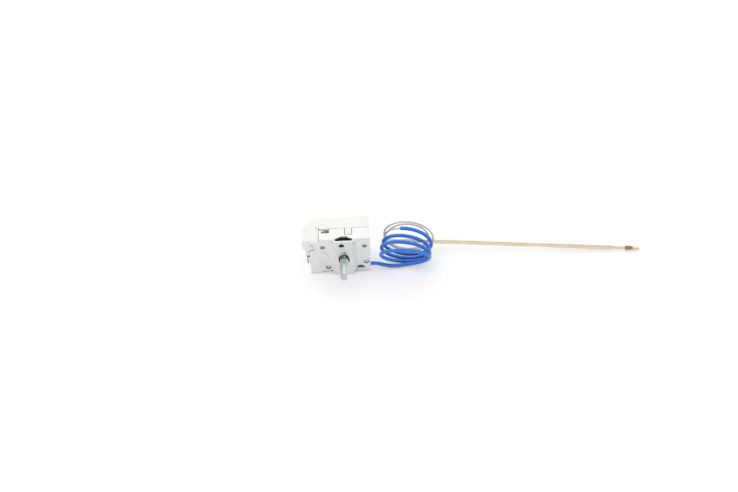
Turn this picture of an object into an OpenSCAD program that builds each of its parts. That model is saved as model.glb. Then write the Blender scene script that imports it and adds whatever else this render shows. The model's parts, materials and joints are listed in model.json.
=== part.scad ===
// Adjustable capillary thermostat with a folded steel front bracket, a two-part ceramic
// switch body, a D-shaped control spindle and a long liquid-filled sensing bulb.
// Millimetres. +Z is up, the spindle points along -Y and the sleeve leaves along +X.
// Shapes are drawn from the spindle's axis (x), the plate's front face (y) and the floor (z).

/* [Body] */
// Height of the ceramic body
body_h = 28; // [26:0.5:34]
// Depth from the plate's front face to the back of the switch housing
body_d = 25; // [23:0.5:34]
// Reach of the body to the left of the spindle
left_reach = 27.75; // [25:0.25:32]
// Reach of the body to the right of the spindle
right_reach = 17.75; // [17:0.25:24]
// Plane where the ceramic carrier meets the switch housing
split_y = 13.2; // [12.5:0.1:14.5]
// Height of the spindle's axis
axis_z = 12.7; // [12:0.1:14]

/* [Bracket] */
// Thickness of the folded sheet
sheet_t = 1.2; // [0.8:0.1:1.4]
// Reach of the plate to the left of the spindle
plate_left = 22.7; // [20.5:0.1:23]
// Height of the plate's lower edge
plate_foot = 0.4; // [0.3:0.1:1]
// Width of the raised bridge's flat face
bridge_w = 11.6; // [10:0.2:14]
// How far the bridge stands in front of the plate
bridge_out = 2.5; // [2:0.1:4]
// Width of each sloping side of the bridge
bridge_slope = 3; // [2:0.1:3.2]
// How far the bridge rises above the body
bridge_rise = 1; // [0.5:0.1:2]
// Depth of the top flange
flange_d = 12.9; // [11:0.1:13]
// Reach of the top flange to the left of the spindle
flange_left = 16.4; // [14:0.1:17]

/* [Fixing] */
// Distance between the two tapped fixing holes
fixing_pitch = 28; // [27:0.5:30]
// Height of the fixing holes
fixing_z = 22.6; // [21:0.1:23]
// Core diameter of a tapped fixing hole
fixing_d = 3.3; // [3:0.1:3.6]
// Diameter of the clamp rivets' shanks
rivet_d = 1.8; // [1.5:0.1:2.2]

/* [Spindle] */
// Diameter of the control spindle
spindle_d = 6; // [5:0.5:6.5]
// Size across the spindle's flat
spindle_across = 4.6; // [4:0.1:5]
// Length of the spindle in front of the bridge
spindle_out = 17; // [12:0.5:30]
// Length of the full-round stretch behind the flat
spindle_round = 2.4; // [1:0.1:4]
// Diameter of the spindle's threaded shank
shank_d = 8; // [7.5:0.1:9]
// Clearance on the radius of every running fit
run_gap = 0.05; // [0.02:0.01:0.09]
// Clearance on the radius of the spindle's hole in the bridge
spindle_gap = 0.7; // [0.4:0.1:0.9]

/* [Diaphragm] */
// Diameter of the diaphragm capsule
capsule_d = 20; // [18:0.5:20.5]
// Thickness of the capsule at its rim
capsule_t = 1.2; // [1:0.1:1.6]
// Diameter of the thrust pin
pin_d = 3; // [2.5:0.1:3.5]

/* [Switch] */
// Width of a blade terminal
tab_w = 6.3; // [4.8:0.1:6.6]
// Thickness of a blade terminal
tab_t = 0.8; // [0.5:0.1:1]
// Length of the terminals behind the housing
tab_out = 9; // [7:0.5:12]
// Open gap between the two contacts
contact_gap = 1.8; // [1.75:0.05:2.2]
// Diameter of a contact button
contact_d = 3.4; // [3:0.1:4]

/* [Capillary] */
// Diameter of the insulating sleeve
sleeve_d = 2.2; // [1.8:0.1:2.4]
// Diameter of the bare capillary
capillary_d = 1.2; // [0.9:0.1:1.4]
// Mean radius of the coil
coil_r = 16; // [15:0.1:17]
// Diameter of the sensing bulb
bulb_d = 3.1; // [2.6:0.1:3.1]
// Length of the bulb's full-width body
bulb_len = 139; // [100:1:160]

/* [Hidden] */
$fn = 64;

// The frame's origin is at the middle of the body, spindle and terminals, seen from above
origin_x = (left_reach - right_reach) / 2;
origin_y = (bridge_out + spindle_out - body_d - tab_out) / 2;

// Bracket
bend_r = 0.6;
bend_out = bend_r + sheet_t;
bridge_half = bridge_w / 2;
bridge_foot = bridge_half + bridge_slope;
bridge_back = sheet_t - bridge_out;
window_top = body_h - bend_out;
spindle_hole_r = spindle_d / 2 + spindle_gap;
crown = [[-3.6, 1], [-3.5, 3.6], [-1.5, 5.9], [0.3, 7.3], [1.6, 6.4], [3.4, 2.8], [3.4, 1]];
sight_x = -1.3;
sight_d = 3.5;
sight_z = body_h - 2.7;
moon_x = 11.2;
moon_r = 2.7;
moon_z = plate_foot + 2.8;
step_x = -14.6;
foot_mid = plate_foot + 1.5;
foot_right = plate_foot + 0.9;
tongue = [[3.6, -1], [3.6, 0], [5.6, 0.5], [7.3, 1.5], [9.2, 2.7], [9.2, -1]];
mark_x = -13.3;
mark_z = axis_z + 1.2;
mark_r = 3.5;
mark_tall = 1.4;
mark_w = 0.6;
mark_deep = 0.25;
key_left = 1.3;
key_right = 5.8;
key_front = 6.4;
slot_left = -14.6;
slot_w = 5.2;
slot_d = 3;
slot_back = flange_d - 1.4;
gap = 0.3;
ear_z = 11.5;
ear_h = 6.2;
ear_d = 9;
ear_hole_y = ear_d - 3;
earth_front = 1;
earth_tip = 23;
boss_x = -21.5;
boss_z = body_h - 5.3;
lug_x = 11;
lug_w = 4;
lug_d = 8;
rivets = [[-10.7, 5], [right_reach - 2.65, 8.6]];
rivet_head_d = 3;
rivet_hole_d = 3.5;
rivet_head_h = 0.6;

// Ceramic
lobe_z = 20.5;
step_z = 15;
step_left = left_reach - 2;
shelf_z = body_h - sheet_t;
pocket_r = capsule_d / 2 + 1;
web_t = 2.8;
web_y = split_y - web_t;
rib_left = -17.9;
rib_w = 1.3;
rib_back = split_y + 1.8;
cavity_left = -14.8;
cavity_right = 8;
cavity_low = 7;
cavity_high = 20;
back_wall = 2.5;
cavity_back = body_d - back_wall;
low_left = -18;
ear_notch_x = -22;
ear_notch_d = 6;
bevel_x = 1.95;
bevel_y = 4.3;
corner_x = 6.75;

// Spindle train, at rest with the capsule pushed furthest back
bush_d = 10;
bush_front = bridge_back;
bush_bevel = 0.6;
bush_back = bush_front + 3.4;
shank_front = bush_front + 1.1;
shank_back = bush_back + 0.9;
disc_t = 1;
disc_front = shank_back;
disc_back = disc_front + disc_t;
disc_r = 5.4;
lug_r = 9.4;
stop_r = 8;
stop_angle = 64;
lug_angle = 20;
lug_free = 3;
lug_across = 3;
capsule_space = 2.8;
pivot_d = 3;
pivot_len = 1.4;
pivot_end = 0.3;
spindle_bevel = 0.4;
capsule_mid = disc_back + capsule_space;
capsule_bulge = 0.6;
capsule_waves = 3;
wave_h = 0.28;
wave_edge = 0.94;
seat_d = 6.5;
seat_t = 1.3;
seat_front = capsule_mid - capsule_t / 2 - capsule_bulge - seat_t;
button_d = 5;
button_t = 0.8;
button_back = capsule_mid + capsule_t / 2 + capsule_bulge + button_t;

// Switch
tab_low = axis_z - tab_w / 2;
latch_d = 1.6;
latch_in = 4.2;
tip_in = 1.4;
tip_bevel = 1.2;
foot_front = split_y + 0.3;
foot_back = foot_front + tab_t;
contact_t = 0.7;
shank_hole_d = 1.4;
contact_x = -10.5;
fixed_face = foot_back + contact_t;
lever_t = 0.4;
lever_front = fixed_face + contact_gap + contact_t;
lever_w = 5;
lever_left = contact_x - contact_d / 2 - 0.4;
hinge_x = 6.4;
roll_r = 0.45;
hinge_y = lever_front + lever_t / 2;
spring_t = 0.4;
spring_w = 4;
spring_gap = 0.7;
spring_foot_x = 5.6;
spring_bend_x = -3.9;
spring_tip_x = 0.5;
spring_tip_w = 1.4;
pin_gap = 0.15;
pin_front = button_back + pin_gap;
pin_back = lever_front - pin_gap;

// Sleeve and capillary inside the body
sleeve_y = sheet_t + 1.3;
sleeve_z = moon_z + 1.3;
channel_w = sleeve_d + 0.5;
sleeve_start = 8.2;
bush_out = 1.4;
bush_extra = 0.5;
nipple_angle = 45;
nipple_len = 1.4;
recess_left = 5;
recess_right = 11;
nipple_r = capsule_d / 2 + nipple_len;
nipple_at = [nipple_r * cos(nipple_angle), capsule_mid, axis_z - nipple_r * sin(nipple_angle)];

// Free sleeve: from the body's side down to the floor and on to the foot of the coil
lead_points = [[19.9, 2.5, 4.5], [21.9, 2.5, 4.3], [24.9, 2.5, 3.4], [28.5, 2.4, 2.2],
               [32.5, 2.4, 1.5], [36.5, 2.6, 1.3], [39.5, 2.8, 1.3]];
// Bare capillary: from the coil's back down to the bulb, which lies behind the coil
tail_points = [[31.5, 10.5, 24.5], [29.3, 12.8, 21], [28.1, 15.4, 17], [27.9, 17.8, 13.2],
               [29.3, 20.4, 10], [31.5, 22.4, 7.8], [34.3, 23.5, 6.6]];

// The coil stands on its edge: its turns lean towards the front like fallen dominoes, the
// first one most, and each foot rests on the floor
coil_first = [42.6, -5.9];
coil_step = [0.6, 5.65];
coil_lean = 122;
coil_lean_step = -4;
coil_rings = 4;
coil_h = 6;
coil_wall = 2;
coil_lift = 0.1;

// Bulb, lying on the floor at its tip and raised on the coil at its neck
bulb_start = [38.1, 23.9, 5.8];
bulb_end = [202.5, 8.8, 1.6];
bulb_way = bulb_end - bulb_start;
bulb_turn = atan2(bulb_way[1], bulb_way[0]);
bulb_dip = atan2(-bulb_way[2], norm([bulb_way[0], bulb_way[1]]));
neck_len = 5;
neck_cone = 2;
neck_d = capillary_d + 0.6;
taper_len = 3;
thin_d = 2.2;
thin_len = 8;
braze_len = 5.4;
braze_r = thin_d / 2 + 0.35;
tip_len = 4.4;
braze_at = neck_len + bulb_len + taper_len + thin_len;
tip_t = 1.3;

module local() {
  translate([origin_x, origin_y, 0]) children();
}

// Turns a shape drawn along +Z to run along +Y from the depth y, at (x, z)
module along_y(x, y, z) {
  translate([x, y, z]) rotate([-90, 0, 0]) children();
}

module hole_y(x, z, d, from, to) {
  along_y(x, from, z) cylinder(d = d, h = to - from);
}

// A block given by its two corners
module block(low, high) {
  translate(low) cube(high - low);
}

// A flat outline in X and Y, raised from one height to another
module raised(low, high) {
  translate([0, 0, low]) linear_extrude(high - low) children();
}

// Tube swept along a list of points, closed at both ends
function unit(v) = v / norm(v);
function heading(p, i) =
  unit(p[min(i + 1, len(p) - 1)] - p[max(i - 1, 0)]);
function side_of(t) = unit(cross(t, abs(t[2]) < 0.9 ? [0, 0, 1] : [1, 0, 0]));
function ring(c, t, r, n) =
  let (u = side_of(t), v = cross(t, u))
  [for (k = [0:n - 1]) c + r * (cos(360 * k / n) * u + sin(360 * k / n) * v)];
// Smooth curve through the points: each gap is filled by a cubic through its four neighbours
function blend_at(a, b, c, d, s) =
  0.5 * (2 * b + (c - a) * s + (2 * a - 5 * b + 4 * c - d) * s * s
  + (3 * b - a - 3 * c + d) * s * s * s);
function smooth(p, n) =
  [for (i = [0:len(p) - 2], k = [0:n - 1])
    blend_at(p[max(i - 1, 0)], p[i], p[i + 1], p[min(i + 2, len(p) - 1)], k / n),
   p[len(p) - 1]];

module tube(p, d, n = 8) {
  rings = len(p);
  points = [for (i = [0:rings - 1]) each ring(p[i], heading(p, i), d / 2, n)];
  walls = [for (i = [0:rings - 2], k = [0:n - 1])
    [i * n + k, i * n + (k + 1) % n, (i + 1) * n + (k + 1) % n, (i + 1) * n + k]];
  ends = [[for (k = [n - 1:-1:0]) k], [for (k = [0:n - 1]) (rings - 1) * n + k]];
  polyhedron(points = points, faces = concat(walls, ends), convexity = 4);
}

// Quarter-round fold along X, from the plate's front face to the flange's top
module fold(x_from, x_to) {
  intersection() {
    translate([x_from, bend_out, body_h - bend_out]) rotate([0, 90, 0])
      difference() {
        cylinder(r = bend_out, h = x_to - x_from);
        translate([0, 0, -1]) cylinder(r = bend_r, h = x_to - x_from + 2);
      }
    block([x_from, 0, body_h - bend_out], [x_to, bend_out, body_h]);
  }
}

// Hat section of the bridge, seen from above
module bridge_outline() {
  polygon([[-bridge_foot, 0], [-bridge_half, -bridge_out], [bridge_half, -bridge_out],
           [bridge_foot, 0], [bridge_foot, sheet_t], [bridge_foot - 0.6, sheet_t],
           [bridge_half - 0.6, bridge_back], [0.6 - bridge_half, bridge_back],
           [0.6 - bridge_foot, sheet_t], [-bridge_foot, sheet_t]]);
}

module half_moon() {
  intersection() {
    hole_y(moon_x, moon_z, 2 * moon_r, -1, sheet_t + 1);
    block([moon_x - moon_r, -1, moon_z], [moon_x + moon_r, sheet_t + 1, moon_z + moon_r]);
  }
}

// Height of the plate's lower edge at each of the two lugs folded under the ceramic
function lug_z(side) = side < 0 ? foot_mid : foot_right;

// Flat shape of the top flange, with its notch, its sight opening and its slanted back corner
module flange_outline() {
  opening = bridge_half + 0.2;
  difference() {
    translate([-flange_left, bend_out])
      square([flange_left + right_reach, flange_d - bend_out]);
    translate([key_left - gap, key_front - gap]) square([key_right - key_left + 2 * gap, flange_d]);
    polygon([[-flange_left - 1, flange_d - 2], [-8.6, flange_d - 0.8], [-7.4, flange_d + 1],
             [-flange_left - 1, flange_d + 1]]);
    translate([slot_left, slot_back - slot_d]) square([slot_w, slot_d]);
    polygon([[-opening, 0], [opening, 0], [opening, bend_out + 0.3], [3.6, bend_out + 1.1],
             [2, bend_out + 2.6], [-1.8, bend_out + 2.6], [-3.6, bend_out + 1.5],
             [-opening, bend_out + 0.2]]);
  }
}

module front_bracket() {
  color("gainsboro") local() {
    difference() {
      union() {
        block([-plate_left, 0, plate_foot], [-flange_left, sheet_t, body_h - 0.2]);
        block([-flange_left, 0, plate_foot], [right_reach, sheet_t, window_top]);
        fold(-flange_left, right_reach);
        raised(body_h - sheet_t, body_h) flange_outline();
        block([-plate_left - sheet_t, 0, ear_z - ear_h / 2], [-plate_left, ear_d, ear_z + ear_h / 2]);
        for (s = [-1, 1])
          translate([s * lug_x - lug_w / 2, 0, lug_z(s)]) cube([lug_w, lug_d, sheet_t]);
      }
      block([-bridge_foot, -1, 0], [bridge_foot, sheet_t + 1, window_top]);
      block([-bridge_half - 0.2, -1, 0], [bridge_half + 0.2, bend_out, body_h + 1]);
      block([step_x, -1, 0], [0, sheet_t + 1, foot_mid]);
      block([0, -1, 0], [right_reach + 1, sheet_t + 1, foot_right]);
      for (s = [-1, 1])
        hole_y(s * fixing_pitch / 2, fixing_z, fixing_d, -1, sheet_t + 1);
      for (r = rivets)
        hole_y(r[0], r[1], rivet_hole_d, -1, sheet_t + 1);
      half_moon();
      along_y(mark_x, -1, mark_z) scale([1, mark_tall, 1])
        difference() {
          cylinder(r = mark_r, h = mark_deep + 1);
          translate([0, 0, -1]) cylinder(r = mark_r - mark_w, h = mark_deep + 3);
        }
      along_y(boss_x, -1, boss_z) linear_extrude(sheet_t + 2) boss_outline(gap);
      translate([-plate_left - sheet_t - 1, ear_hole_y, ear_z]) rotate([0, 90, 0])
        cylinder(d = rivet_d, h = sheet_t + 2);
    }
    difference() {
      union() {
        raised(plate_foot, window_top) bridge_outline();
        raised(0, body_h + bridge_rise) intersection() {
          bridge_outline();
          translate([-bridge_half - 1.2, -bridge_out]) square([bridge_w + 2.4, bridge_out]);
        }
      }
      hole_y(0, axis_z, 2 * spindle_hole_r, -bridge_out - 1, sheet_t);
      translate([0, sheet_t, axis_z]) rotate([90, 0, 0]) linear_extrude(bridge_out + sheet_t + 1)
        polygon(crown);
      for (s = [-1, 1])
        scale([s, 1, 1]) translate([0, sheet_t, 0]) rotate([90, 0, 0])
          linear_extrude(bridge_out + sheet_t + 1) polygon(tongue);
      hole_y(sight_x, sight_z, sight_d, -bridge_out - 1, sheet_t);
    }
  }
}

// Triangular locating boss of the ceramic, drawn with its point up once turned along Y
module boss_outline(grow) {
  polygon([[-1.6 - grow, 2 + grow], [1.6 + grow, 2 + grow], [0, -2.6 - 2 * grow]]);
}

module rivet_holes(from, to) {
  for (r = rivets)
    hole_y(r[0], r[1], rivet_d, from, to);
}

module ceramic_carrier() {
  color("linen") local()
    difference() {
      union() {
        block([-plate_left, sheet_t, 0], [right_reach, split_y, shelf_z]);
        block([-left_reach, sheet_t, lobe_z], [-flange_left - 0.4, split_y, body_h]);
        block([-step_left, sheet_t, step_z], [-plate_left, split_y, lobe_z]);
        block([rib_left, sheet_t + 0.6, body_h - 2], [rib_left + rib_w, rib_back, body_h + 0.3]);
        along_y(boss_x, 0.1, boss_z) linear_extrude(sheet_t) boss_outline(0);
      }
      hole_y(0, axis_z, 2 * pocket_r, 0, web_y);
      block([-bridge_half + 0.2, 0, axis_z], [bridge_half - 0.2, web_y, body_h]);
      block([-bridge_foot, 0, -1], [bridge_foot, sheet_t + 0.8, body_h]);
      hole_y(0, axis_z, pin_d + 2 * run_gap, web_y - 1, split_y + 1);
      for (s = [-1, 1]) {
        hole_y(s * fixing_pitch / 2, fixing_z, fixing_d + 0.8, 0, sheet_t + 0.8);
        translate([s * lug_x - lug_w / 2, 0, -1]) cube([lug_w, lug_d + gap, lug_z(s) + sheet_t + 1]);
      }
      rivet_holes(0, split_y + 1);
      block([0, 0, sleeve_z - channel_w / 2],
            [right_reach + 1, sleeve_y + channel_w / 2, sleeve_z + channel_w / 2]);
      block([slot_left - 0.2, slot_back - slot_d - 0.2, shelf_z - 3],
            [slot_left + slot_w + 0.2, slot_back + 0.2, body_h]);
      block([recess_left, 0, sleeve_z - channel_w / 2],
            [recess_right, capsule_mid + capillary_d + 0.3, axis_z]);
      translate([-flange_left - gap, 0, 0]) rotate([90, 0, 90])
        linear_extrude(flange_left + right_reach + 1)
          polygon([[sheet_t - 1, shelf_z - bend_r], [sheet_t, shelf_z - bend_r],
                   [sheet_t + bend_r, shelf_z], [sheet_t + bend_r, body_h], [sheet_t - 1, body_h]]);
    }
    color("linen") local()
      difference() {
        hole_y(0, axis_z, 2 * pocket_r + 0.2, disc_front - gap, disc_back + gap);
        hole_y(0, axis_z, 2 * stop_r, 0, split_y);
        stop_sector();
      }
}

// Everything around the stop rib: the sector through which the stop disc's lug swings
module stop_sector() {
  free = 360 - stop_angle;
  reach = 2 * pocket_r;
  along_y(0, 0, axis_z) for (a = [0, free - 180])
    rotate([0, 0, 90 + stop_angle / 2 + a])
      translate([-reach, 0, 0]) cube([2 * reach, reach, split_y]);
}

module housing_outline() {
  polygon([[-left_reach, split_y], [bevel_x - left_reach, split_y + bevel_y],
           [corner_x - left_reach, body_d], [right_reach - 0.8, body_d],
           [right_reach, body_d - 0.8], [right_reach, split_y]]);
}

module switch_housing() {
  color("antiquewhite") local()
    difference() {
      union() {
        raised(step_z, body_h) housing_outline();
        block([low_left, split_y, 0], [right_reach, body_d, step_z]);
        block([key_left, key_front, shelf_z], [key_right, split_y, body_h + 0.1]);
      }
      block([cavity_left, split_y - 1, cavity_low], [cavity_right, cavity_back, cavity_high]);
      block([rib_left - 0.25, split_y - 1, body_h - 2.3],
            [rib_left + rib_w + 0.25, rib_back + 0.25, body_h + 1]);
      block([-left_reach - 1, split_y - 1, step_z - 1], [ear_notch_x, split_y + ear_notch_d, lobe_z - 2]);
      for (x = [cavity_left + 0.2, cavity_right - 0.1 - tab_t])
        block([x, cavity_back - 1, tab_low], [x + tab_t, body_d + 1, tab_low + tab_w]);
      rivet_holes(split_y - 1, body_d + 1);
    }
}

module clamp_rivets() {
  color("silver") local() {
    for (r = rivets) {
      hole_y(r[0], r[1], rivet_d, sheet_t, body_d);
      along_y(r[0], sheet_t - rivet_head_h, r[1])
        cylinder(d1 = rivet_head_d - 0.6, d2 = rivet_head_d, h = rivet_head_h);
      along_y(r[0], body_d, r[1])
        cylinder(d1 = rivet_head_d, d2 = rivet_head_d - 0.9, h = rivet_head_h);
    }
  }
}

module threaded_bush() {
  color("dimgray") local()
    difference() {
      union() {
        hole_y(0, axis_z, bush_d, bush_front, bush_back - bush_bevel);
        along_y(0, bush_back - bush_bevel, axis_z)
          cylinder(d1 = bush_d, d2 = bush_d - 2 * bush_bevel, h = bush_bevel);
      }
      hole_y(0, axis_z, shank_d + 2 * run_gap, bush_front - 1, bush_back + 1);
    }
}

module spindle() {
  tip = -bridge_out - spindle_out;
  flat_end = -bridge_out - spindle_round;
  color("lightsteelblue") local()
    difference() {
      union() {
        along_y(0, tip, axis_z)
          cylinder(d1 = spindle_d - 2 * spindle_bevel, d2 = spindle_d, h = spindle_bevel);
        hole_y(0, axis_z, spindle_d, tip + spindle_bevel, shank_front);
        hole_y(0, axis_z, shank_d, shank_front, shank_back);
      }
      block([spindle_across - spindle_d / 2, tip - 1, axis_z - spindle_d],
            [spindle_d, flat_end, axis_z + spindle_d]);
      hole_y(0, axis_z, pivot_d + 2 * run_gap, shank_back - pivot_len - pivot_end, shank_back + 1);
    }
}

// Disc behind the bush whose lug meets the carrier's stop rib at each end of the turn
module stop_disc() {
  color("dimgray") local()
    difference() {
      union() {
        hole_y(0, axis_z, 2 * disc_r, disc_front, disc_back);
        intersection() {
          hole_y(0, axis_z, 2 * lug_r, disc_front, disc_back);
          along_y(0, disc_front, axis_z) rotate([0, 0, 90 + (stop_angle + lug_angle) / 2 + lug_free])
            translate([0, -lug_across / 2, 0]) cube([lug_r + 1, lug_across, disc_t]);
        }
      }
      hole_y(0, axis_z, pivot_d + 2 * run_gap, disc_front - 1, disc_back + 1);
    }
}

// Half of the capsule's section: a dished disc pressed with three rings, thick at its rim
module capsule_profile() {
  steps = 48;
  r = capsule_d / 2;
  edge = capsule_t / 2;
  face = [for (i = [0:steps])
    let (x = r * wave_edge * (1 - i / steps), wave = 1 - cos(360 * capsule_waves * i / steps))
    [x, edge + capsule_bulge * (1 - x / r) - wave_h * wave / 2]];
  polygon(concat([[r, 0], [r, edge]], face, [[0, 0]]));
}

module diaphragm_capsule() {
  color("silver") local() {
    along_y(0, capsule_mid, axis_z) {
      rotate_extrude() capsule_profile();
      mirror([0, 0, 1]) rotate_extrude() capsule_profile();
    }
    hole_y(0, axis_z, seat_d, seat_front, capsule_mid - capsule_t / 2);
    hole_y(0, axis_z, pivot_d, shank_back - pivot_len, seat_front + 0.1);
    hole_y(0, axis_z, button_d, capsule_mid + capsule_t / 2, button_back);
    translate([0, capsule_mid, axis_z]) rotate([0, 90 + nipple_angle, 0])
      cylinder(d = capillary_d + 0.4, h = nipple_r - 0.2, $fn = 32);
  }
}

module push_pin() {
  color("ivory") local()
    hole_y(0, axis_z, pin_d, pin_front, pin_back);
}

module contact_lever() {
  low = axis_z - lever_w / 2;
  color("goldenrod") local()
    difference() {
      union() {
        block([lever_left, lever_front, low], [hinge_x, lever_front + lever_t, low + lever_w]);
        translate([hinge_x, hinge_y, low]) cylinder(r = roll_r, h = lever_w);
        along_y(0, lever_front + lever_t - 0.01, axis_z) cylinder(d1 = 3, d2 = 2, h = 0.4);
      }
      block([2.4, lever_front - 1, axis_z - 0.9], [4.8, lever_front + 1, axis_z + 0.9]);
      hole_y(contact_x, axis_z, shank_hole_d, lever_front - 1, lever_front + lever_t + 1);
    }
}

module moving_contact() {
  color("whitesmoke") local() {
    hole_y(contact_x, axis_z, contact_d, lever_front - contact_t, lever_front);
    hole_y(contact_x, axis_z, shank_hole_d, lever_front - 0.01, lever_front + lever_t + 0.3);
  }
}

module fixed_contact() {
  color("whitesmoke") local() {
    hole_y(contact_x, axis_z, contact_d, foot_back, fixed_face);
    hole_y(contact_x, axis_z, shank_hole_d, foot_front, foot_back + 0.01);
  }
}

// Side view of a blade terminal with a bevelled tip, from one depth to another
module blade_outline(from, tip, low) {
  polygon([[from, low], [tip - tip_in, low], [tip, low + tip_bevel],
           [tip, low + tab_w - tip_bevel], [tip - tip_in, low + tab_w], [from, low + tab_w]]);
}

// Blade with its latch hole, from the depth y to behind the housing
module blade(x, y) {
  tip = body_d + tab_out;
  difference() {
    translate([x, 0, 0]) rotate([90, 0, 90]) linear_extrude(tab_t)
      blade_outline(y, tip, tab_low);
    translate([x - 1, tip - latch_in, axis_z]) rotate([0, 90, 0])
      cylinder(d = latch_d, h = tab_t + 2);
  }
}

module load_terminal() {
  x = cavity_left + 0.2;
  color("khaki") local()
    difference() {
      union() {
        blade(x, foot_front);
        block([x, foot_front, tab_low], [contact_x + 2.2, foot_back, tab_low + tab_w]);
      }
      hole_y(contact_x, axis_z, shank_hole_d, foot_front - 1, foot_back + 1);
    }
}

module line_terminal() {
  x = cavity_right - 0.1 - tab_t;
  edge = hinge_y + roll_r + gap;
  color("khaki") local() {
    blade(x, lever_front - 1.2);
    block([x - 1.6, edge, tab_low], [x + 0.1, edge + tab_t, tab_low + tab_w]);
  }
}

// Strip of even thickness along a bent line, seen from above
module strip(line, t) {
  for (i = [0:len(line) - 2]) {
    way = line[i + 1] - line[i];
    translate(line[i]) rotate(atan2(way[1], way[0])) translate([0, -t / 2]) square([norm(way), t]);
  }
  for (i = [1:len(line) - 2])
    translate(line[i]) circle(d = t, $fn = 24);
}

// Leaf spring behind the lever: a foot on the housing's back wall, a leg and a tip near the lever
module lever_spring() {
  foot = cavity_back - spring_t / 2;
  tip = lever_front + lever_t + spring_gap + spring_t / 2;
  color("slategray") local()
    raised(axis_z - spring_w / 2, axis_z + spring_w / 2)
      strip([[spring_foot_x, foot], [spring_bend_x, foot], [spring_tip_x, tip],
             [spring_tip_x - spring_tip_w, tip]], spring_t);
}

module earth_tab() {
  x = -plate_left - sheet_t - tab_t;
  low = ear_z - tab_w / 2;
  color("darkkhaki") local()
    difference() {
      translate([x, 0, 0]) rotate([90, 0, 90]) linear_extrude(tab_t)
        blade_outline(earth_front, earth_tip, low);
      for (y = [ear_hole_y, earth_tip - latch_in])
        translate([x - 1, y, ear_z]) rotate([0, 90, 0])
          cylinder(d = y < ear_d ? rivet_d : latch_d, h = tab_t + 2);
    }
}

module earth_rivet() {
  x = -plate_left - sheet_t - tab_t;
  color("silver") local() translate([x, ear_hole_y, ear_z]) rotate([0, 90, 0]) {
    cylinder(d = rivet_d, h = sheet_t + tab_t);
    translate([0, 0, -0.5]) cylinder(d1 = rivet_d + 0.8, d2 = rivet_d + 1.4, h = 0.5);
  }
}

module inner_capillary() {
  out = unit(nipple_at - [0, capsule_mid, axis_z]);
  from = nipple_at + 0.8 * out;
  end = [sleeve_start, sleeve_y, sleeve_z];
  points = [from, from + [0.1, -1.4, 0], end + [-0.4, 1.7, -0.2], end + [-1.7, 1, 0],
            end + [-1.6, 0.1, 0], end - [0.6, 0, 0]];
  color("rosybrown") local() tube(concat(smooth(points, 3), [end]), capillary_d);
}

module inner_sleeve() {
  color("royalblue") local()
    translate([sleeve_start, sleeve_y, sleeve_z]) rotate([0, 90, 0])
      cylinder(d = sleeve_d, h = right_reach - sleeve_start, $fn = 32);
}

// Short collar where the sleeve leaves the body's side
module sleeve_bush() {
  color("royalblue") local()
    translate([right_reach, sleeve_y, sleeve_z]) rotate([0, 90, 0])
      cylinder(d = sleeve_d + bush_extra, h = bush_out, $fn = 32);
}

module sleeve_lead() {
  start = [right_reach + bush_out, sleeve_y, sleeve_z];
  color("royalblue") local() tube(concat([start], smooth(lead_points, 3)), sleeve_d);
}

module capillary_coil() {
  color("royalblue") local()
    for (i = [0:coil_rings - 1]) {
      lean = coil_lean + i * coil_lean_step;
      rise = (coil_r + coil_wall / 2) * sin(lean) - coil_h / 2 * cos(lean) + coil_lift;
      translate([coil_first[0] + i * coil_step[0], coil_first[1] + i * coil_step[1], rise])
        rotate([lean, 0, 0]) rotate_extrude()
          translate([coil_r - coil_wall / 2, -coil_h / 2]) square([coil_wall, coil_h]);
    }
}

module capillary_tail() {
  ending = bulb_start - 1.6 * unit(bulb_way);
  points = smooth(concat(tail_points, [ending]), 4);
  color("rosybrown") local() tube(concat(points, [bulb_start]), capillary_d);
}

// Places a shape drawn along +Z on the bulb's axis, at a length from its inner end
module on_bulb(at) {
  translate(bulb_start) rotate([0, 0, bulb_turn]) rotate([0, 90 + bulb_dip, 0])
    translate([0, 0, at]) children();
}

module bulb_neck() {
  color("khaki") local() on_bulb(0) {
    cylinder(d = neck_d, h = neck_len - neck_cone, $fn = 32);
    translate([0, 0, neck_len - neck_cone]) cylinder(d1 = neck_d, d2 = bulb_d, h = neck_cone, $fn = 32);
  }
}

module sensing_bulb() {
  color("khaki") local() on_bulb(neck_len) {
    cylinder(d = bulb_d, h = bulb_len);
    translate([0, 0, bulb_len]) cylinder(d1 = bulb_d, d2 = thin_d, h = taper_len, $fn = 32);
    translate([0, 0, bulb_len + taper_len]) cylinder(d = thin_d, h = thin_len, $fn = 32);
  }
}

module bulb_braze() {
  color("saddlebrown") local() on_bulb(braze_at) rotate_extrude($fn = 32)
    polygon([[0, 0], [thin_d / 2, 0], [braze_r, 0.8], [braze_r - 0.1, 2.4],
             [braze_r, 3.6], [thin_d / 2 - 0.1, braze_len], [0, braze_len]]);
}

module bulb_tip() {
  color("tan") local() on_bulb(braze_at + braze_len) intersection() {
    cylinder(d = thin_d + 0.2, h = tip_len, $fn = 32);
    translate([-tip_t / 2, -2, 0]) cube([tip_t, 4, tip_len]);
  }
}

front_bracket();
ceramic_carrier();
switch_housing();
clamp_rivets();
threaded_bush();
spindle();
stop_disc();
diaphragm_capsule();
push_pin();
contact_lever();
moving_contact();
fixed_contact();
load_terminal();
line_terminal();
lever_spring();
earth_tab();
earth_rivet();
inner_capillary();
inner_sleeve();
sleeve_bush();
sleeve_lead();
capillary_coil();
capillary_tail();
bulb_neck();
sensing_bulb();
bulb_braze();
bulb_tip();
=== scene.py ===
import bpy
import bmesh
import json
import math
from mathutils import Matrix, Vector


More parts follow.
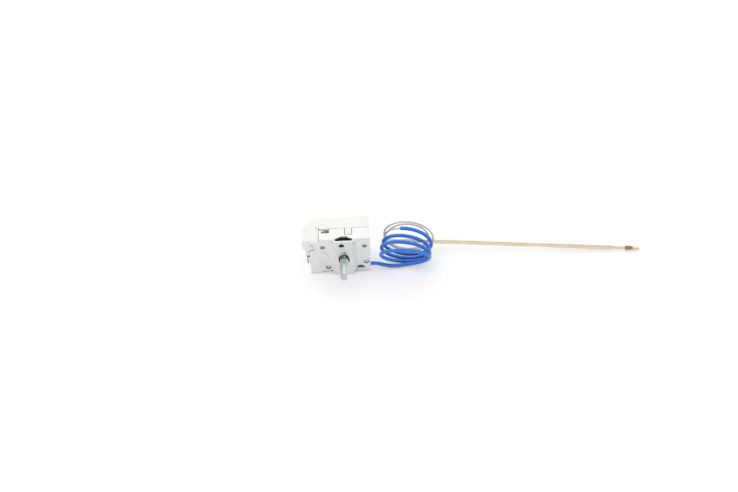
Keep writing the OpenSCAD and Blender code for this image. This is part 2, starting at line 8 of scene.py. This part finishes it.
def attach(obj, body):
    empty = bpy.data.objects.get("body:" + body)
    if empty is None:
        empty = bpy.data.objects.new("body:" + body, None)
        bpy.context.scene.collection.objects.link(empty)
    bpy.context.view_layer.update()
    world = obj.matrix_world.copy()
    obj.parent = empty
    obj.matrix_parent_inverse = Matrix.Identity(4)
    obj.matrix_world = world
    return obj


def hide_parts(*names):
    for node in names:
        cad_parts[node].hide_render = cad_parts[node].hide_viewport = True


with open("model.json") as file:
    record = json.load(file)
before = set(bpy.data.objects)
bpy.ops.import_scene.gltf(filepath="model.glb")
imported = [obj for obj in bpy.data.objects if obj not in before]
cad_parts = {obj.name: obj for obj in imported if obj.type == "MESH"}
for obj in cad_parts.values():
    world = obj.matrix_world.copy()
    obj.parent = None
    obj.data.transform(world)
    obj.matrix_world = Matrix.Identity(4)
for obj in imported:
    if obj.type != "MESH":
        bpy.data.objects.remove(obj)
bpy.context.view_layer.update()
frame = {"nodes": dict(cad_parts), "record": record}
subparts = frame["record"]["subparts"]
bodyNodes = frame["record"]["behaviour"]["bodies"]

# The part's own sizes are taken in millimetres from the spindle's axis (x), the plate's front
# face (y) and the floor (z). The frame's origin lies under the middle of the body.
origin = {"x": 5.0, "y": -7.25}


# Metres in the frame = (millimetres of the part + origin) / 1000
def row(x, y, z):
    return Vector((origin["x"] + x, origin["y"] + y, z)) / 1000


# The camera stands in front and 850 mm away, with a long lens, and looks down 41 degrees
view = {"turn": 0.955, "rise": 41.026, "roll": -1.966, "target": (17.03, 0, 22.29), "distance": 0.85,
        "focalPixels": 1272.87, "widthPixels": 738, "sensor": 36, "near": 0.01, "far": 20}


# ahead = the unit vector from turn and rise, level = flat and square to it, up = square to both;
# right and top are level and up turned by the roll. Lens = focal length in pixels / width * sensor.
def makeCamera():
    turn, rise, roll = (math.radians(view[key]) for key in ("turn", "rise", "roll"))
    ahead = Vector((math.sin(turn) * math.cos(rise), math.cos(turn) * math.cos(rise), -math.sin(rise)))
    level = Vector((math.cos(turn), -math.sin(turn), 0))
    up = level.cross(ahead)
    right = math.cos(roll) * level + math.sin(roll) * up
    top = -math.sin(roll) * level + math.cos(roll) * up
    place = row(*view["target"]) - view["distance"] * ahead
    data = bpy.data.cameras.new("frontCamera")
    data.sensor_width = view["sensor"]
    data.lens = view["focalPixels"] / view["widthPixels"] * view["sensor"]
    data.clip_start = view["near"]
    data.clip_end = view["far"]
    camera = bpy.data.objects.new("frontCamera", data)
    bpy.context.scene.collection.objects.link(camera)
    camera.matrix_world = Matrix((
        (right.x, top.x, -ahead.x, place.x),
        (right.y, top.y, -ahead.y, place.y),
        (right.z, top.z, -ahead.z, place.z),
        (0, 0, 0, 1)))
    bpy.context.scene.camera = camera


makeCamera()
print("camera made")

# The coil stands on its edge: every turn rests its foot on the floor and leans to the front.
# Its sizes are quartics in s = (turns - middleTurn) / middleTurn, lowest power first, for the foot's
# place (across, depth, height), the radius and the turn's lean and roll. Millimetres and degrees.
coil = {
    "middleTurn": 2.8, "first": 0, "sleeveEnd": 3.555, "last": 5.68, "pointsPerTurn": 20,
    "across": (42.7, 4.24, 1.17, -4.32, -2.52), "depth": (12.97, 11.69, 0.53, -4.05, -2.77),
    "height": (1.6, -0.06, 0.21, -0.19, -0.44), "radius": (16.08, 0.82, 3.72, -1.73, -5.56),
    "lean": (113.4, -9.5, -0.3, -4.7, 1.2), "roll": (-11.4, 1, 7.5, -5.5, 3.1)}

# The free stretches, from the body to the coil and from the coil to the bulb. The capillary runs
# straight into the bulb over straightEnd. Millimetres.
cord = {
    "sleeveAcross": 2.5, "bareAcross": 1.2, "straightEnd": 1.6, "curveSteps": 6, "roundSteps": 5,
    "lead": ((19.15, 2.5, 4.5), (19.9, 2.5, 4.5), (21.9, 2.5, 4.3), (24.9, 2.5, 3.4), (28.5, 2.4, 2.2),
             (32.5, 2.4, 1.5), (36.5, 2.6, 1.3)),
    "tail": ((27.9, 17.8, 13.2), (29.3, 20.4, 10), (31.5, 22.4, 7.8), (34.3, 23.5, 6.6)),
    "bulbStart": (38.1, 23.9, 5.8), "bulbEnd": (202.5, 8.8, 1.6),
    "bulbNodes": ("bulb_neck", "sensing_bulb", "bulb_braze", "bulb_tip")}


# c0 + c1 s + c2 s^2 + c3 s^3 + c4 s^4
def grown(size, turns):
    s = turns / coil["middleTurn"] - 1
    return sum(c * s ** power for power, c in enumerate(coil[size]))


# foot + radius * (cos(angle) * side + (sin(angle) + 1) * up), where up leans and side rolls
def coilPoint(turns):
    lean, roll = (math.radians(grown(size, turns)) for size in ("lean", "roll"))
    angle = 2 * math.pi * turns - math.pi / 2
    up = Vector((0, math.cos(lean), math.sin(lean)))
    side = Vector((math.cos(roll), 0, math.sin(roll)))
    foot = Vector([grown(size, turns) for size in ("across", "depth", "height")])
    return foot + grown("radius", turns) * (math.cos(angle) * side + (math.sin(angle) + 1) * up)


# Points of the coil at even steps of 1 / pointsPerTurn, with both ends
def turnsBetween(first, last):
    count = max(2, round((last - first) * coil["pointsPerTurn"]))
    return [coilPoint(first + (last - first) * k / count) for k in range(count + 1)]


# A smooth curve through the points with a round section; its length is the sum of its steps
def makeCord(name, points, across):
    curve = bpy.data.curves.new(name, "CURVE")
    curve.dimensions = "3D"
    curve.resolution_u = cord["curveSteps"]
    curve.bevel_depth = 1  # one metre, which each point's radius scales down
    curve.bevel_resolution = cord["roundSteps"]
    curve.use_fill_caps = True
    line = curve.splines.new("BEZIER")
    line.bezier_points.add(len(points) - 1)
    places = [row(*p) for p in points]
    for part in ("co", "handle_left", "handle_right"):
        line.bezier_points.foreach_set(part, [c for p in places for c in p])
    for point in line.bezier_points:
        point.handle_left_type = point.handle_right_type = "AUTO"
        point.radius = across / 2000
    piece = bpy.data.objects.new(name, curve)
    bpy.context.scene.collection.objects.link(piece)
    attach(piece, "frame")
    return piece, sum((b - a).length for a, b in zip(places, places[1:]))


# Sleeve: the lead, then the turns up to sleeveEnd. Capillary: the turns from there to the last, the
# tail, and the bulb's start, entered along the bulb's own line.
def makeCords():
    lead = [Vector(p) for p in cord["lead"]]
    tail = [Vector(p) for p in cord["tail"]]
    start, end = Vector(cord["bulbStart"]), Vector(cord["bulbEnd"])
    straight = start - cord["straightEnd"] * (end - start).normalized()
    sleeve, sleeveLength = makeCord(
        "blueSleeve", lead + turnsBetween(coil["first"], coil["sleeveEnd"]), cord["sleeveAcross"])
    tube, tubeLength = makeCord(
        "bareCapillary", turnsBetween(coil["sleeveEnd"], coil["last"]) + tail + [straight, start],
        cord["bareAcross"])
    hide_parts("sleeve_lead", "capillary_coil")
    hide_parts("capillary_tail")
    print("cords made, metres:", round(sleeveLength, 4), round(tubeLength, 4))
    return sleeve, tube


sleeve, tube = makeCords()

# Sheet, ceramic and blades get the small rounding that blanking, pressing and tumbling leave.
# Widths in millimetres, for every edge sharper than edgeAngle in degrees.
edges = {
    "front_bracket": 0.12, "ceramic_carrier": 0.22, "switch_housing": 0.22, "earth_tab": 0.08,
    "load_terminal": 0.08, "line_terminal": 0.08, "spindle": 0.1, "threaded_bush": 0.12}
rounding = {"edgeAngle": 32, "steps": 2, "mergeMetres": 1e-6, "flatAngle": 0.5, "areaWeight": 100}
lathePieces = ("spindle", "threaded_bush")


# A copy of the node's mesh: equal corners merged, flat faces joined, then every sharp edge rounded.
# Flat faces stay evenly lit by weighting the normals with the faces' areas, and what was turned on
# a lathe keeps the normals of its own faces.
def soften(name, width):
    mesh = frame["nodes"][name].data.copy()
    form = bmesh.new()
    form.from_mesh(mesh)
    bmesh.ops.remove_doubles(form, verts=form.verts, dist=rounding["mergeMetres"])
    bmesh.ops.dissolve_limit(form, angle_limit=math.radians(rounding["flatAngle"]),
                             verts=form.verts, edges=form.edges)
    for face in form.faces:
        face.smooth = True
    form.to_mesh(mesh)
    form.free()
    piece = bpy.data.objects.new(name + "Edged", mesh)
    bpy.context.scene.collection.objects.link(piece)
    bevel = piece.modifiers.new("rounding", "BEVEL")
    bevel.width = width / 1000
    bevel.segments = rounding["steps"]
    bevel.limit_method = "ANGLE"
    bevel.angle_limit = math.radians(rounding["edgeAngle"])
    bevel.use_clamp_overlap = False
    if name in lathePieces:
        bevel.harden_normals = True
    else:
        piece.modifiers.new("shading", "WEIGHTED_NORMAL").weight = rounding["areaWeight"]
    slot = next(part["material_slot"] for part in subparts if part["node"] == name)
    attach(piece, next(body for body, nodes in bodyNodes.items() if name in nodes))
    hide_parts(name)
    return piece, slot


softened = [soften(name, width) for name, width in edges.items()]
print("edges rounded:", len(softened))


# Each sRGB channel c turns linear: c / 12.92 up to 0.04045, else ((c + 0.055) / 1.055) ^ 2.4
def linear(hexColour):
    channels = [int(hexColour[i:i + 2], 16) / 255 for i in (1, 3, 5)]
    return tuple(c / 12.92 if c <= 0.04045 else ((c + 0.055) / 1.055) ** 2.4 for c in channels) + (1,)


# Adds a node; inputs maps a socket's name or number to a value or to the output that feeds it
def addNode(tree, kind, inputs=None, **settings):
    node = tree.nodes.new("ShaderNode" + kind)
    for key, value in settings.items():
        setattr(node, key, value)
    for key, value in (inputs or {}).items():
        if isinstance(value, bpy.types.NodeSocket):
            tree.links.new(value, node.inputs[key])
        else:
            node.inputs[key].default_value = value
    return node


# Socket numbers of the Mix node in its colour mode
mixFactor, mixFirst, mixSecond, mixColour = 0, 6, 7, 2


# Colour = first + factor * (second - first), in linear light
def mixed(tree, factor, first, second):
    return addNode(tree, "Mix", {mixFactor: factor, mixFirst: first, mixSecond: second},
                   data_type="RGBA").outputs[mixColour]


# Share = (value - low) / (high - low) * (end - start) + start, kept between start and end
def mapped(tree, value, low, high, start=0, end=1):
    return addNode(tree, "MapRange", {
        "Value": value, "From Min": low, "From Max": high, "To Min": start, "To Max": end}).outputs[0]


# Painted shade, darkening the colour where a place is closed in: reach in millimetres, then the
# openness at which it ends and starts. The last is for turns of cord that lie close together.
deepHollow, fineSeam, closeTurns = (9, 0.06, 0.24), (1, 0.2, 0.5), (6, 0.25, 0.95)
# The near-black that the painted shade darkens hollows and seams to
paintedShade = "#14120F"


# The painted shade's share falls from 1 to 0 as the openness of a place, the part of the half
# sphere over it with nothing nearer than reach, grows from low to high
def withPaintedShade(tree, colour, tone, reach, low, high):
    openness = addNode(tree, "AmbientOcclusion", {"Distance": reach / 1000}, samples=8)
    return mixed(tree, mapped(tree, openness.outputs["AO"], low, high), linear(tone), colour)


# The noise's own settings, and the part of its range that is spread from 0 to 1
drift = {"detail": 3, "rough": 0.55, "low": 0.35, "high": 0.65}
grainLook = {"detail": 4, "rough": 0.6, "low": 0.3, "high": 0.7}


# One finish: a colour that drifts between two tones over toneSize, specks over grainSize, and
# roughness and bump from the same grain. stretch gives the grain's length along each axis.
def makeFinish(name, finish):
    material = bpy.data.materials.new(name)
    material.use_nodes = True
    tree = material.node_tree
    tree.nodes.clear()
    place = addNode(tree, "TexCoord").outputs["Object"]
    grainPlace = addNode(tree, "Mapping", {
        "Vector": place, "Rotation": tuple(math.radians(a) for a in finish.get("turn", (0, 0, 0))),
        "Scale": tuple(1 / length for length in finish.get("stretch", (1, 1, 1)))}).outputs[0]
    tone = addNode(tree, "TexNoise", {
        "Vector": place, "Scale": 1000 / finish["toneSize"],
        "Detail": drift["detail"], "Roughness": drift["rough"]}).outputs["Fac"]
    grain = addNode(tree, "TexNoise", {
        "Vector": grainPlace, "Scale": 1000 / finish["grainSize"],
        "Detail": grainLook["detail"], "Roughness": grainLook["rough"]}).outputs["Fac"]
    first, second, speckTone = (linear(c) for c in finish["tones"])
    colour = mixed(tree, mapped(tree, tone, drift["low"], drift["high"]), first, second)
    speck = mapped(tree, grain, finish.get("speckFrom", grainLook["low"]), grainLook["high"])
    share = addNode(tree, "Math", {0: speck, 1: finish.get("speckShare", 0.3)}, operation="MULTIPLY")
    colour = mixed(tree, share.outputs[0], colour, speckTone)
    # Painted shade in hollows, seams and between close turns of cord
    for hollow in finish.get("paintedShade", ()):
        colour = withPaintedShade(tree, colour, finish.get("paintedShadeTone", paintedShade), *hollow)
    bump = addNode(tree, "Bump", {
        "Height": grain, "Strength": finish.get("bump", 0.2),
        "Distance": finish["grainSize"] / 1000 * finish.get("depth", 0.2)})
    shader = addNode(tree, "BsdfPrincipled", {
        "Base Color": colour, "Normal": bump.outputs[0], "Metallic": finish.get("metal", 0),
        "Roughness": mapped(tree, grain, grainLook["low"], grainLook["high"], *finish["rough"])})
    addNode(tree, "OutputMaterial", {"Surface": shader.outputs[0]})
    return material


# The bulb's turn on the floor in degrees, for the drawing lines along it
bulbWay = Vector(cord["bulbEnd"]) - Vector(cord["bulbStart"])
bulbTurn = math.degrees(math.atan2(bulbWay.y, bulbWay.x))

# Sizes in millimetres. tones: two drifting base tones and the speck's colour. rough: the least and
# the most roughness. Last, painted shade: where the colour is darkened as shade, and the tone that takes
# the place of its plain near-black.
finishes = {
    # zinc plate on rolled sheet: a soft bright grey with a faint crystalline mottle, and painted shade in
    # hollows and seams
    "zinc_sheet": {"tones": ("#E4E6E5", "#DDDFDF", "#EDEEED"), "toneSize": 5, "grainSize": 0.5,
                   "stretch": (3, 1, 1), "rough": (0.42, 0.56), "metal": 1, "bump": 0.12,
                   "paintedShade": (deepHollow, fineSeam)},
    # pressed and fired steatite, unglazed: chalky white with a fine powder grain, and painted shade in
    # hollows and seams
    "steatite_front": {"tones": ("#F8F7F3", "#F5F4EF", "#FAFAF8"), "toneSize": 6, "grainSize": 0.35,
                       "rough": (0.55, 0.75), "bump": 0.25, "speckShare": 0.4,
                       "paintedShade": (deepHollow, fineSeam)},
    # the same from another batch, a touch less warm, with the same painted shade
    "steatite_back": {"tones": ("#F8F7F4", "#F5F4F0", "#FAFAF8"), "toneSize": 7, "grainSize": 0.35,
                      "rough": (0.55, 0.75), "bump": 0.25, "speckShare": 0.4,
                      "paintedShade": (deepHollow, fineSeam)},
    # the small pin is ground, so it is smoother
    "steatite_pin": {"tones": ("#F3F0EA", "#EFECE5", "#F7F5F1"), "toneSize": 4, "grainSize": 0.3,
                     "rough": (0.5, 0.7), "bump": 0.2},
    # headed steel rivets with a bright zinc skin
    "rivet_steel": {"tones": ("#C9CCCD", "#BDC1C2", "#D9DBDB"), "toneSize": 1.5, "grainSize": 0.25,
                    "rough": (0.25, 0.4), "metal": 1},
    # phosphated steel: pale green-grey metal with darker specks
    "dark_steel": {"tones": ("#D8DFDC", "#C6CDCA", "#9AA09C"), "toneSize": 1.5, "grainSize": 0.3,
                   "rough": (0.4, 0.6), "metal": 0.8, "speckFrom": 0.45},
    # turned steel with a pale zinc skin: fine rings left by the tool round the axis
    "spindle_steel": {"tones": ("#C2CCCC", "#B8C3C3", "#D3DBDB"), "toneSize": 4, "grainSize": 0.22,
                      "stretch": (8, 1, 8), "rough": (0.2, 0.34), "metal": 1, "bump": 0.25},
    # rolled stainless strip, pressed into the diaphragm, with painted shade in hollows and seams
    "stainless": {"tones": ("#C9C9C6", "#BFBFBD", "#DADAD8"), "toneSize": 3, "grainSize": 0.3,
                  "rough": (0.2, 0.32), "metal": 1, "bump": 0.1, "paintedShade": (deepHollow, fineSeam)},
    # hard rolled phosphor bronze strip: warm, with lines along its length
    "spring_bronze": {"tones": ("#B98A55", "#AD7F4C", "#CFA36C"), "toneSize": 3, "grainSize": 0.2,
                      "stretch": (12, 1, 1), "rough": (0.24, 0.38), "metal": 1},
    # solid silver contact faces, coined smooth
    "contact_silver": {"tones": ("#E4E4E2", "#DCDBD8", "#F0F0EE"), "toneSize": 1, "grainSize": 0.2,
                       "rough": (0.16, 0.28), "metal": 1, "bump": 0.1},
    # rolled brass blades, bright, with fine lines along them
    "terminal_brass": {"tones": ("#CDB372", "#C2A564", "#DEC88E"), "toneSize": 3, "grainSize": 0.25,
                       "stretch": (1, 10, 1), "rough": (0.24, 0.38), "metal": 1},
    # the earth blade is older, olive brass
    "earth_brass": {"tones": ("#A39A6C", "#968D61", "#B9B184"), "toneSize": 3, "grainSize": 0.25,
                    "stretch": (1, 10, 1), "rough": (0.34, 0.5), "metal": 1},
    # extruded silicone sleeve, soft gloss over an even blue
    "blue_sleeve": {"tones": ("#267DE7", "#1F72D9", "#3E92F8"), "toneSize": 8, "grainSize": 0.6,
                    "rough": (0.24, 0.36), "bump": 0.08},
    # drawn and annealed steel capillary: pale grey with a warm cast
    "capillary_steel": {"tones": ("#D2CCC5", "#C6BEB6", "#E0DAD3"), "toneSize": 6, "grainSize": 0.2,
                        "rough": (0.28, 0.42), "metal": 1, "bump": 0.1},
    # drawn tube with a pale gold passivation: long fine lines along the bulb
    "bulb_metal": {"tones": ("#E2D7BF", "#D8CBB1", "#ECE4D0"), "toneSize": 14, "grainSize": 0.22,
                   "stretch": (60, 1, 1), "turn": (0, 0, -bulbTurn), "rough": (0.2, 0.32), "metal": 1},
    # silver braze run round the filling tube: scorched flux over yellow metal
    "braze": {"tones": ("#8A6A48", "#B3966C", "#D3BE98"), "toneSize": 1.6, "grainSize": 0.5,
              "rough": (0.35, 0.6), "metal": 0.8, "bump": 0.5, "depth": 0.4, "speckFrom": 0.45},
    # the filling tube, crimped flat and cut
    "tip_metal": {"tones": ("#DDCDB0", "#CBB796", "#EBDFC8"), "toneSize": 1.2, "grainSize": 0.3,
                  "rough": (0.3, 0.45), "metal": 1, "bump": 0.2}}
# The same sleeve in the coil, with painted shade: a deeper blue where the turns lie close together
finishes["coiled_blue_sleeve"] = {
    **finishes["blue_sleeve"], "paintedShade": (closeTurns,), "paintedShadeTone": "#0C2C74"}


# Each piece takes the finish of its slot, and the coiled sleeve its blue with painted shade between the
# turns
def dress():
    made = {name: makeFinish(name, finish) for name, finish in finishes.items()}
    pieces = [(frame["nodes"][part["node"]], part["material_slot"]) for part in subparts] + softened
    for piece, slot in pieces + [(sleeve, "coiled_blue_sleeve"), (tube, "capillary_steel")]:
        piece.data.materials.clear()
        piece.data.materials.append(made[slot])
    print("finishes made:", len(made))


dress()

# The floor is white to the camera and keeps the object's soft shadow. Metres and watts.
floorLook = {"half": 3, "drop": 0.00005, "albedo": 0.76, "rough": 0.9, "glow": 0.31}
room = {"level": 0.81, "background": 1.0}
panels = {
    "back": {"place": (0, 0.9, 0.55), "size": 1.5, "power": 4.4},
    "front": {"place": (-0.15, -0.9, 0.62), "size": 1.4, "power": 1.2},
    "left": {"place": (-0.9, -0.2, 0.5), "size": 0.5, "power": 0.4},
    "right": {"place": (0.9, -0.2, 0.5), "size": 0.5, "power": 0.3}}
white = (1, 1, 1, 1)


# A square just under the object. glow = share of white that the camera and mirror rays see, added
# to what the light gives.
def makeFloor():
    mesh = bpy.data.meshes.new("floor")
    half = floorLook["half"]
    corners = [(-half, -half, 0), (half, -half, 0), (half, half, 0), (-half, half, 0)]
    mesh.from_pydata(corners, [], [(0, 1, 2, 3)])
    floor = bpy.data.objects.new("floor", mesh)
    bpy.context.scene.collection.objects.link(floor)
    floor.location.z = -floorLook["drop"]
    material = bpy.data.materials.new("paleFloor")
    material.use_nodes = True
    tree = material.node_tree
    tree.nodes.clear()
    rays = addNode(tree, "LightPath").outputs
    seen = addNode(tree, "Math", {0: rays["Is Camera Ray"], 1: rays["Is Glossy Ray"]}, operation="MAXIMUM")
    glow = addNode(tree, "Math", {0: seen.outputs[0], 1: floorLook["glow"]}, operation="MULTIPLY")
    shader = addNode(tree, "BsdfPrincipled", {
        "Base Color": (floorLook["albedo"],) * 3 + (1,), "Roughness": floorLook["rough"],
        "Emission Color": white, "Emission Strength": glow.outputs[0]})
    addNode(tree, "OutputMaterial", {"Surface": shader.outputs[0]})
    mesh.materials.append(material)


# A pale room lights from all round with strength level, and shows the camera its background; four
# soft square panels stand round the object and face its origin
def makeLights():
    world = bpy.data.worlds.new("paleRoom")
    bpy.context.scene.world = world
    world.use_nodes = True
    tree = world.node_tree
    tree.nodes.clear()
    rays = addNode(tree, "LightPath").outputs
    strength = mapped(tree, rays["Is Camera Ray"], 0, 1, room["level"], room["background"])
    sky = addNode(tree, "Background", {"Color": white, "Strength": strength})
    addNode(tree, "OutputWorld", {"Surface": sky.outputs[0]})
    for name, panel in panels.items():
        data = bpy.data.lights.new(name + "Panel", "AREA")
        data.shape = "SQUARE"
        data.size = panel["size"]
        data.energy = panel["power"]
        lamp = bpy.data.objects.new(name + "Panel", data)
        bpy.context.scene.collection.objects.link(lamp)
        lamp.location = panel["place"]
        lamp.rotation_euler = (-Vector(panel["place"])).to_track_quat("-Z", "Y").to_euler()
    print("lights made:", len(panels))


makeFloor()
makeLights()
bpy.context.scene.view_settings.view_transform = "Standard"
